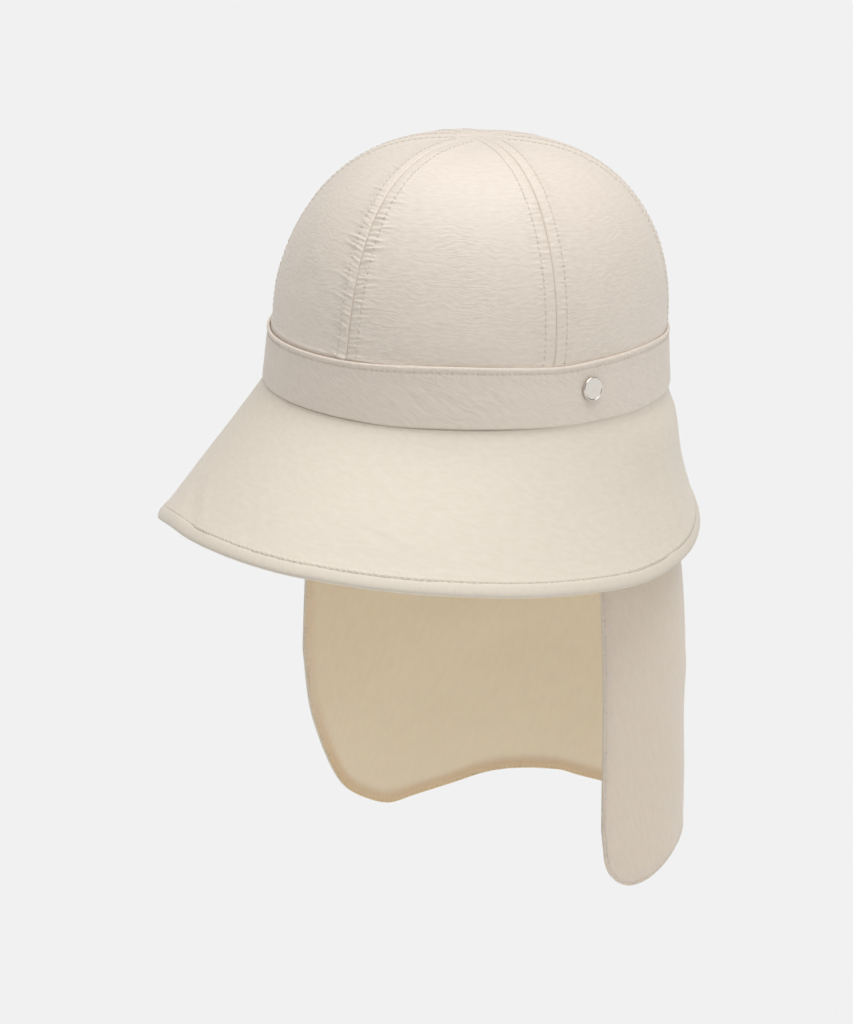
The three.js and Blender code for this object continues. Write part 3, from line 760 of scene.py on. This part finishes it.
def crown_panel(index):
    """One panel. It returns the stitches along its two sides."""
    here, there = SEAMS[index], SEAMS[(index + 1) % len(SEAMS)]
    step = FINE_ROW_STEP if index in FINE_PANELS else ROW_STEP
    radius, height, up = (line[:, None] for line in crown_profile(step))
    start = seam_angle(here, height)
    end = seam_angle(there, height) + (2 * math.pi if there is SEAMS[0] else 0)
    slit = np.minimum(SEAM_SLIT, radius / 5)
    width = (end - start) * radius - 2 * slit
    near = NEAR_SEAM * np.minimum(1, NEAR_SHARE * width / NEAR_SEAM[-1])
    share = np.linspace(0, 1, MIDDLE_COLUMNS + 2)[1:-1]
    middle = near[:, -1:] + (width - 2 * near[:, -1:]) * share
    first = np.concatenate([near, middle, width - near[:, ::-1]], axis=1)
    last = width - first
    angle = start + (first + slit) / radius

    risen = np.maximum(height - BAND_HEIGHT, 0) / CROWN_RISE
    flat = PANEL_FLATNESS * np.sin(math.pi * first / width) ** 2
    scale = radius / MEAN_RADIUS * (1 - flat * np.minimum(1, 3 * risen))
    x = HALF_WIDTH * scale * np.sin(angle)
    y = -HALF_LENGTH * scale * np.cos(angle) + CROWN_TOP_BACK * risen**CROWN_BACK_POWER
    face = stack(x, y, height)
    normal = unit(np.cross(np.gradient(face, axis=1), np.gradient(face, axis=0)))
    normal[radius[:, 0] < 0.6] = (0, 0, 1)

    cloth = stack(first - width / 2, up)
    relief = seam_relief(np.minimum(first, last)) * smoothstep(radius, *SEAMS_MEET)
    relief += puckers(here, 1, first, up, height) + puckers(there, 0, last, up, height)
    relief += smoothstep(height, *BUMPS_BEGIN) * bumps(CROWN_BUMPS, face)
    relief += creases(CROWN_CREASES, angle, height, CROWN_DEGREE)
    outer = face + normal * relief[..., None]
    inner = face + normal * (INNER_SHARE * relief[..., None] - CROWN_WALL)

    to_row = np.minimum(first, last) - TOPSTITCH
    numbers = up / STITCH_PITCH
    maps = {"cloth": cloth * MM, "stitching": stack(numbers, to_row)}
    name = PANELS[index]
    cloth_shell(
        "crown_cloth_" + name, "crown_panel_" + name, outer, inner, maps,
        [crown_nylon],
    )

    rows = []
    shown = np.flatnonzero((height > BAND_HEIGHT) & (width > 2 * TOPSTITCH + 1))
    for seam_side in (0, 1):
        line = []
        for r in shown:
            at = width[r, 0] - TOPSTITCH if seam_side else TOPSTITCH
            both = np.concatenate([outer[r], normal[r]], axis=1)
            line.append([np.interp(at, first[r], both[:, i]) for i in range(6)])
        line = np.array(line)
        rows.append(row_of_stitches(line[:, :3], line[:, 3:], numbers[shown, 0]))
    return rows


# Hat band

RING_COLUMNS = 840
BAND_STITCH = 22.8
# The fold at both edges: its size in mm, and the angles of its rows
BAND_FOLD = 0.8
BAND_FOLD_TURNS = (0, 30, 60, 82)
BAND_ROWS = 52
# Its welt's height and rise, and width and depth of the channel that the stitches pull in
BAND_WELT, BAND_WELT_RISE = 0.35, (BAND_STITCH + 0.3, BAND_STITCH + 1.3)
BAND_CHANNEL = (0.5, 0.16)
# Its wrinkles lie between these heights, and slant
WRINKLES_BEGIN, WRINKLES_END = (1, 5), (18, 22)
WRINKLE_SLANT = 0.5


def make_band():
    """The band: a strip folded over at its top edge, which stands proud as a small welt, and
    turned under at its lower edge."""
    angle = np.linspace(0, 2 * math.pi, RING_COLUMNS + 1)
    facing = (np.degrees(angle) + 45) % 360 - 45
    top, low = (read_table(BAND_EDGES, "angle", facing, column) for column in ("top", "low"))
    fold = np.radians(BAND_FOLD_TURNS)
    lower = BAND_FOLD * (1 - np.sin(fold[::-1]))
    upper = BAND_HEIGHT - BAND_FOLD * (1 - np.sin(fold))
    level = np.linspace(lower[-1], upper[0], BAND_ROWS)[1:-1]
    up = np.concatenate([lower, level, upper])[:, None]
    thin = np.concatenate([np.cos(fold[::-1]), np.ones(len(level)), np.cos(fold)])[:, None]
    z = low + up / BAND_HEIGHT * (top - low)
    welt = BAND_WELT * smoothstep(up, *BAND_WELT_RISE)
    channel = ridge(up - BAND_STITCH, *BAND_CHANNEL)
    plain = ring_point(angle, band_face(z), z)
    normal = leaning_normal(angle, BAND_LEAN / BAND_HEIGHT + 0 * z)
    between = window(up, WRINKLES_BEGIN, WRINKLES_END)
    waves = bumps(BAND_WAVES, plain)
    x, y = plain[..., 0], plain[..., 1]
    slanted = stack(x, y, z + WRINKLE_SLANT * (x + y))
    wrinkles = bumps(BAND_WRINKLES, slanted) + creases(BAND_CREASES, angle, z, BAND_DEGREE)
    half = BAND_WALL / 2
    proud = -half + (half + welt - channel) * thin + between * wrinkles + waves * (1 + thin) / 2
    outer = plain + normal * proud[..., None]
    inner = plain + normal * (0.5 * waves - half - half * thin)[..., None]
    row = np.abs(up - BAND_STITCH).argmin()
    numbers = stitch_numbers(outer[row])
    around = distance_along(plain[0])
    maps = {"cloth": stack(around, z) * MM, "stitching": stack(numbers, up - up[row])}
    cloth_shell("band_cloth", "band", outer, inner, maps, [band_nylon], ring=True)
    sew("band_stitches", [row_of_stitches(outer[row], normal[row], numbers)], 21)


# Brim

def brim_section(angle):
    normal = ring_normal(angle)
    facing = np.degrees(np.abs(np.arctan2(normal[..., 0], -normal[..., 1])))
    slant, flare, curl = (
        read_table(BRIM_SECTIONS, "facing", facing, column)
        for column in ("slant", "flare", "curl")
    )
    turned = (np.degrees(angle) + 180) % 360 - 180
    slant = slant + read_table(BRIM_UNEVEN, "angle", turned, "longer")
    return slant, np.radians(flare), curl


PATH_STEPS = 300


def brim_path(angle, run):
    """Where the brim's face runs: out from the head ellipse, height, and slope. run has a
    row for each distance down the slope and a column for each angle."""
    slant, flare, curl = brim_section(angle)
    step = slant / PATH_STEPS
    middle = (np.arange(PATH_STEPS)[:, None] + 0.5) * step
    slope = flare * smoothstep(middle, 0, BRIM_BEND) * (1 + curl * (middle / slant - 0.5))
    start = np.zeros((1, len(angle)))
    out = np.concatenate([start, np.cumsum(step * np.sin(slope), axis=0)]) - BAND_WALL - GAP
    z = -np.concatenate([start, np.cumsum(step * np.cos(slope), axis=0)])
    slope = np.concatenate([start, slope])
    at = np.clip(run / step, 0, PATH_STEPS - TINY)
    low = at.astype(int)
    part = at - low

    def pick(line):
        below, above = (np.take_along_axis(line, low + i, 0) for i in (0, 1))
        return below * (1 - part) + above * part

    collar = np.maximum(-run, 0)
    return pick(out) + band_face(collar), pick(z) + collar, pick(slope)


# The soft swelling on the wearer's left: its height, its place and width round the hat
# (degrees), and its place and width down the brim
SWELLING = (1.9, 112, 30, 16, 14)
# The rise beside the band: where it is full and where it ends
ROOT_FULL, ROOT_END = 0.7, 5
# From where to where down the brim its waves come in
BRIM_SOFTENS = (2, 14)
BRIM_COLUMNS = 640
BRIM_ROWS = 63
# Rows are closer together near the band. The collar's rows lie under it.
BRIM_ROW_POWER = 1.25
COLLAR_ROWS = np.array([[-4], [-2.5], [-1.2], [-0.4]])
# How far the brim's cloth goes on past its stitches and rises onto the roll, and width and
# depth of the channel that the stitches pull in
EDGE_LAP = 1.1
EDGE_RISE = 0.3
EDGE_CHANNEL = (0.5, 0.06)


def brim_relief(angle, face, run):
    """The brim isn't quite flat: it has broad soft waves, a rise beside the band, and shallow
    dents and creases."""
    high, turn, wide, down, long = SWELLING
    full = ridge(np.degrees(angle) - turn, wide, high) * ridge(run - down, long)
    soft = smoothstep(run, *BRIM_SOFTENS) * (bumps(BRIM_BUMPS, face) + full)
    root = smoothstep(run, 0, ROOT_FULL) * np.clip(1.1 - run / ROOT_END, 0, 1) ** 2
    return soft + root + creases(BRIM_CREASES, angle, run, BRIM_DEGREE)


def rise_to_edge(past):
    """Past its stitches the brim's cloth rises onto the roll of the edge."""
    risen = smoothstep(past, -EDGE_CHANNEL[0], EDGE_LAP)
    return EDGE_RISE * risen - ridge(past, *EDGE_CHANNEL)


def make_brim():
    angle = np.linspace(0, 2 * math.pi, BRIM_COLUMNS + 1)
    slant = brim_section(angle)[0]
    even = np.linspace(0, 1, BRIM_ROWS) ** BRIM_ROW_POWER
    sewn = slant - EDGE_WIDTH
    run = np.concatenate([COLLAR_ROWS + 0 * slant, even[:, None] * (sewn + EDGE_LAP)])
    out, z, slope = brim_path(angle, run)
    face = ring_point(angle, out, z)
    normal = leaning_normal(angle, slope)
    relief = brim_relief(angle, face, run) + rise_to_edge(run - sewn)
    outer = face + normal * relief[..., None]
    inner = face + normal * (relief - BRIM_WALL)[..., None]

    out, z, slope = brim_path(angle, sewn[None, :])
    row = ring_point(angle, out, z)
    row_normal = leaning_normal(angle, slope)
    relief = brim_relief(angle, row, sewn[None, :])
    row = (row + row_normal * (relief + rise_to_edge(0))[..., None])[0]
    numbers = stitch_numbers(row)
    around = distance_along(face[len(face) // 2])
    maps = {"cloth": stack(around, -run) * MM, "stitching": stack(numbers, run - sewn)}
    maps = {key: grid[::-1] for key, grid in maps.items()}
    cloth_shell(
        "brim_cloth", "brim", outer[::-1], inner[::-1], maps, [brim_nylon],
        ring=True,
    )
    sew("brim_stitches", [row_of_stitches(row, row_normal[0], numbers)], 22)


EDGE_SIDES = 28
FAR_FROM_STITCHES = 9.0
# How full the roll is near its two sides: 1 is an oval
EDGE_FULLNESS = 0.6


def make_brim_edge():
    """The rim: cloth rolled over a cord, with small puckers from its stitching."""
    angle = np.linspace(0, 2 * math.pi, RING_COLUMNS + 1)
    slant = brim_section(angle)[0]
    out, z, slope = brim_path(angle, (slant - EDGE_WIDTH / 2)[None, :])
    face = ring_point(angle, out, z)[0]
    normal = leaning_normal(angle, slope)[0]
    down = unit(np.cross(np.gradient(face, axis=0), normal))
    around = distance_along(face)
    turn = np.linspace(0, 2 * math.pi, EDGE_SIDES + 1)[:, None]
    skewed = stack(around + 2.2 * np.sin(turn), 6 * np.cos(turn), 6 * np.sin(turn))
    pucker = noise(skewed, (1.7, 7, 7), 31)
    size = 1 + 0.018 * pucker
    along = EDGE_WIDTH / 2 * np.cos(turn) * size
    full = np.sign(np.sin(turn)) * np.abs(np.sin(turn)) ** EDGE_FULLNESS
    proud = EDGE_THICKNESS / 2 * full * size - BRIM_WALL / 2 + brim_relief(angle, face, slant)
    roll = face + down * along[..., None] + normal * proud[..., None]
    faces = quads(*roll.shape[:2])
    maps = {
        "cloth": stack(around, turn * 2.6).reshape(-1, 2)[faces] * MM,
        "stitching": np.full((len(faces), 4, 2), FAR_FROM_STITCHES),
    }
    number = np.arange(roll.shape[0] * roll.shape[1]).reshape(roll.shape[:2])
    number[-1] = number[0]
    number[:, -1] = number[:, 0]
    faces = number.ravel()[faces]
    make_piece("brim_edge_cloth", "brim_edge", roll, faces, [edge_nylon], maps)


# Neck flap

def flap_face(place, depth):
    """Points of the flap's outer face, without its small folds."""
    degrees = place * FLAP_HALF_SPAN
    grown = smoothstep(depth, *FOLDS_GROW)
    folds = sum(ridge(degrees - at, *size) for at, *size in FLAP_FOLDS)
    out = read_table(FLAP_SECTIONS, "depth", depth, "out") + grown * folds
    near_top = window(depth, STAND_OUT_STARTS, STAND_OUT_ENDS)
    out = out + STAND_OUT * near_top * smoothstep(place, STAND_OUT_FROM, 1)
    points = ring_point(np.radians(FLAP_MIDDLE + degrees), out, -depth)
    points[..., 1] += FLAP_LEAN * np.maximum(depth, 0)
    return points


def flap_normal(place, depth, beside=0.002, below=0.3):
    across = flap_face(place + beside, depth) - flap_face(place - beside, depth)
    up = flap_face(place, depth - below) - flap_face(place, depth + below)
    return unit(np.cross(across, up))


def flap_bottom(place):
    return read_table(FLAP_LOWER_EDGE, "place", place, "depth", level_ends=False)


def flap_outline():
    """The flap's free edges laid flat, in mm: down one side, along the bottom and up."""
    across = np.sin(np.linspace(-1, 1, 500) * math.pi / 2)
    sides = [stack(end, np.linspace(FLAP_TOP, flap_bottom(end), 160)) for end in (-1, 1)]
    line = np.concatenate([sides[0][:-1], stack(across, flap_bottom(across)), sides[1][-2::-1]])
    return line * (FLAP_HALF_WIDTH, 1)


def flap_relief(place, depth):
    """Soft slanting folds over the whole flap."""
    flat = stack(place * FLAP_HALF_WIDTH, depth, 0)
    across, down = flat[..., 0], flat[..., 1]
    slanted = stack(0.82 * across + 0.57 * down, 0.82 * down - 0.57 * across, 0)
    inside = 1 - smoothstep(np.abs(place), *FOLDS_END)
    return smoothstep(depth, *FOLDS_BEGIN) * inside * bumps(FLAP_BUMPS, slanted)


HEM_STEPS = np.arange(0, 9, 0.6)
# How deep the hem's stitches pull the cloth in
HEM_CHANNEL = 0.12
# Where the flap's folds come in, going down, and where they end before its side edges
FOLDS_BEGIN, FOLDS_END = (10, 70), (0.84, 1)
FLAP_COLUMNS = 168
FLAP_ROWS = 120


def make_flap():
    near = HEM_STEPS / FLAP_HALF_WIDTH
    middle = np.linspace(-1 + near[-1], 1 - near[-1], FLAP_COLUMNS)[1:-1]
    place = np.concatenate([near - 1, middle, 1 - near[::-1]])
    bottom = flap_bottom(place)
    above = np.linspace(0, 1, FLAP_ROWS)[1:, None]
    hem_top = bottom - HEM_STEPS[-1]
    depth = np.concatenate([bottom - HEM_STEPS[:, None], hem_top - above * (hem_top - FLAP_TOP)])
    place = place + 0 * depth
    face = flap_face(place, depth)
    normal = flap_normal(place, depth)

    outline = flap_outline()
    outline_numbers = stitch_numbers(outline)
    flat = stack(place * FLAP_HALF_WIDTH, depth)
    to_edge, numbers = np.empty_like(depth), np.empty_like(depth)
    for r, row in enumerate(flat):
        apart = np.linalg.norm(row[:, None] - outline, axis=-1)
        nearest = apart.argmin(axis=1)
        to_edge[r] = apart.min(axis=1)
        numbers[r] = outline_numbers[nearest]
    relief = flap_relief(place, depth)
    in_hem = 1 - smoothstep(to_edge, FLAP_HEM - 3, FLAP_HEM + 2)
    channel = HEM_CHANNEL * ridge(to_edge - FLAP_STITCH_IN, 0.6)
    outer = face + normal * (relief - channel)[..., None]
    inner = face + normal * (relief + channel - FLAP_WALL - FLAP_HEM_EXTRA * in_hem)[..., None]
    maps = {
        "cloth": stack(flat[..., 0], -depth) * MM,
        "stitching": stack(numbers, to_edge - FLAP_STITCH_IN),
    }
    piece = cloth_shell(
        "flap_cloth", "neck_flap", outer, inner, maps, [flap_outside, flap_inside_painted_light]
    )

    # The row of stitches, a little way in from the outline
    ahead = unit(np.gradient(outline, axis=0))
    inward = outline + FLAP_STITCH_IN * stack(ahead[:, 1], -ahead[:, 0])
    apart = np.linalg.norm(inward[:, None] - outline, axis=-1).min(axis=1)
    kept = (apart > FLAP_STITCH_IN - 0.2) & (inward[:, 1] > 8)
    place, depth = inward[kept, 0] / FLAP_HALF_WIDTH, inward[kept, 1]
    row_normal = flap_normal(place, depth)
    rise = flap_relief(place, depth) - HEM_CHANNEL
    row = flap_face(place, depth) + row_normal * rise[:, None]
    row = row_of_stitches(row, row_normal, outline_numbers[kept])
    stitches = sew("flap_stitches", [row], 23)

    level = flap_face(np.linspace(-1, 1, 400), 150 + np.zeros(400))


# Stud

# Radius and height of the stud's side view, from the post's end to the rim of its flat face
STUD_PROFILE = [
    (1.05, -POST_LENGTH), (POST_RADIUS, -POST_LENGTH + 0.15), (POST_RADIUS, 0.3), (4.7, 0.3),
    (5.05, 0.4), (5.25, 0.7), (5.25, 1.25), (5.2, 1.5), (5.05, 1.68), (4.85, 1.74),
    (4.7, 1.68), (4.6, 1.55), (4.5, 1.46), (4.3, 1.42), (4.2, 1.42),
]
STUD_SIDES = 64


def make_stud():
    """A round stamped head with a flat face and a raised rim, on a plain post."""
    radius, height = np.array(STUD_PROFILE).T[:, :, None]
    turn = np.arange(STUD_SIDES) * 2 * math.pi / STUD_SIDES
    points = stack(radius * np.cos(turn), radius * np.sin(turn), height)
    axis = ring_normal(STUD_ANGLE)
    axis[2] = BAND_LEAN / BAND_HEIGHT
    turned = np.array(Vector(axis).to_track_quat("Z", "Y").to_matrix())
    place = ring_point(STUD_ANGLE, band_face(STUD_HEIGHT), STUD_HEIGHT)
    points = (points @ turned.T + place).reshape(-1, 3)
    number = np.arange(len(points)).reshape(-1, STUD_SIDES)
    ahead = np.roll(number, -1, axis=1)
    sides = np.stack([number[:-1], ahead[:-1], ahead[1:], number[1:]], -1).reshape(-1, 4)
    faces = sides.tolist() + [number[0, ::-1].tolist(), number[-1].tolist()]
    mesh = new_mesh("stud_metal", points, faces, [nickel])
    mesh.polygons[len(faces) - 1].use_smooth = False
    stand_for(mesh, "stud")


crown_rows = [row for index in range(len(SEAMS)) for row in crown_panel(index)]
sew("crown_stitches", crown_rows, 20)
make_band()
make_brim()
make_brim_edge()
make_flap()
make_stud()
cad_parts["stud_washer"].material_slots[0].material = nickel


# Camera, where the photograph was taken from

CAMERA_AZIMUTH = math.radians(32.19)
CAMERA_ELEVATION = math.radians(17.08)
CAMERA_ROLL = math.radians(2.14)
CAMERA_DISTANCE = 1300
CAMERA_SIDEWAYS = -18.55
CAMERA_UP = -62.12
IMAGE_HEIGHT = 1024
FOCAL_PIXELS = 2888.64


def towards(azimuth, elevation):
    """The direction from the hat to a place round it. Azimuth 0 is in front of the hat."""
    level = math.cos(elevation)
    return Vector((math.sin(azimuth) * level, -math.cos(azimuth) * level, math.sin(elevation)))


def make_camera():
    back = towards(CAMERA_AZIMUTH, CAMERA_ELEVATION)
    level = towards(CAMERA_AZIMUTH + math.pi / 2, 0)
    upright = back.cross(level)
    right = level * math.cos(CAMERA_ROLL) + upright * math.sin(CAMERA_ROLL)
    up = upright * math.cos(CAMERA_ROLL) - level * math.sin(CAMERA_ROLL)
    place = right * CAMERA_SIDEWAYS + up * CAMERA_UP + back * CAMERA_DISTANCE
    data = bpy.data.cameras.new("camera")
    data.sensor_width = 36
    data.lens = FOCAL_PIXELS / IMAGE_HEIGHT * data.sensor_width
    data.clip_end = 300
    camera = new_object("camera", data)
    turned = Matrix((right, up, back)).transposed().to_4x4()
    camera.matrix_world = Matrix.Translation(place * MM) @ turned
    bpy.context.scene.camera = camera


# Floor and light. The floor is far below the hat, so that its shadow falls outside the picture.

FLOOR_DEPTH = 1300
FLOOR_REACH = 80000
# The studio's walls are as pale as the floor, and give only a little light
WALLS_SEEN = 0.935
WALLS_GIVE = 0.25
# Azimuth and elevation in degrees, strength, and how wide the light is in degrees
LIGHTS = {
    "overhead": (0, 89, 2.42, 60),
    "side": (75, 50, 0.48, 60),
    "low side": (70, 15, 0.2, 60),
    "reflector": (108, -3, 0.1, 26),
    "back": (212, 60, 0.18, 60),
}


def make_studio():
    paint, tree, surface = start_material("pale matt paint")
    matt = {"Base Color": linear("dfdfdf"), "Roughness": 1, "Specular IOR Level": 0}
    feed(tree, surface, matt)
    x, y = FLOOR_REACH * np.array([(-1, 1, 1, -1), (-1, -1, 1, 1)])
    mesh = new_mesh("floor", stack(x, y, -FLOOR_DEPTH), [(0, 1, 2, 3)], [paint])
    floor = new_object("floor", mesh)

    world = bpy.data.worlds.new("studio")
    world.use_nodes = True
    walls = world.node_tree
    seen = add(walls, "LightPath", {}).outputs["Is Camera Ray"]
    strength = add(walls, "MapRange", {"Value": seen, 3: WALLS_GIVE, 4: WALLS_SEEN})
    background = walls.nodes["Background"].inputs
    feed(walls, background, {"Color": linear("f8f8f8"), "Strength": strength})
    bpy.context.scene.world = world
    for name, (azimuth, elevation, strength, width) in LIGHTS.items():
        data = bpy.data.lights.new(name, "SUN")
        data.energy = strength
        data.angle = math.radians(width)
        light = new_object(name, data)
        way = towards(math.radians(azimuth), math.radians(elevation))
        light.rotation_euler = way.to_track_quat("Z", "Y").to_euler()


make_camera()
make_studio()
bpy.context.scene.view_settings.view_transform = "Standard"
